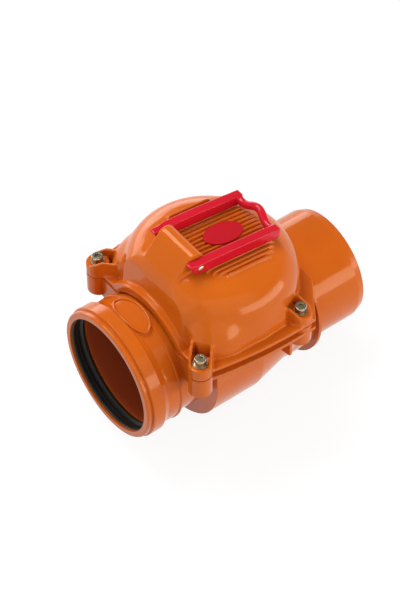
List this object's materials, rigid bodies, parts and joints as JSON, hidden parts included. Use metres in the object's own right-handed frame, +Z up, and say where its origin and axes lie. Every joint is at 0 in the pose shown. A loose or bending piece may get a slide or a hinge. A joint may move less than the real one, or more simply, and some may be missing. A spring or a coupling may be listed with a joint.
{
  "type": "backwater valve",
  "caption": "Orange inline backwater valve: seal-ring socket, domed bolted cover, gravity flap on a hinge, red bail lever that locks the flap shut, plain spigot outlet.",
  "frame": {"origin": "centre of the inlet mouth, on the axis of the socket", "axes": "+X along the flow from inlet to outlet, +Z up toward the cover, +Y to the left of the flow"},
  "size_m": [0.249, 0.1804, 0.1955],
  "materials": {
    "pvc_orange": "gloss",
    "rubber_black": "matte",
    "steel": "zinc plated",
    "red_plastic": "gloss",
    "grey_plastic": "satin",
    "white_plastic": "satin"
  },
  "bodies": {
    "valve": {"valve_body": "pvc_orange", "inlet_lip_seal": "rubber_black", "cover_gasket": "rubber_black", "cover": "pvc_orange", "cover_screws": "steel", "cover_washers": "steel", "cover_nuts": "steel", "shaft_orings": "rubber_black", "indicator_plate": "red_plastic", "hinge_pin": "steel", "hinge_clips": "steel"},
    "lever": {"locking_lever": "red_plastic", "lever_shaft": "steel", "lock_finger": "grey_plastic", "finger_pin": "steel"},
    "flap": {"flap": "grey_plastic", "flap_seal": "rubber_black", "flap_clamp": "grey_plastic", "flap_screws": "steel", "flap_bushes": "white_plastic"}
  },
  "joints": [
    {"name": "lever_swing", "type": "hinge", "parent": "valve", "child": "lever", "pos_m": [0.081, 0, 0.1095], "axis": [0, -1, 0], "range_deg": [0, 68]},
    {"name": "flap_swing", "type": "hinge", "parent": "valve", "child": "flap", "pos_m": [0.077, 0, 0.06], "axis": [0, -1, 0], "range_deg": [0, 50]}
  ]
}
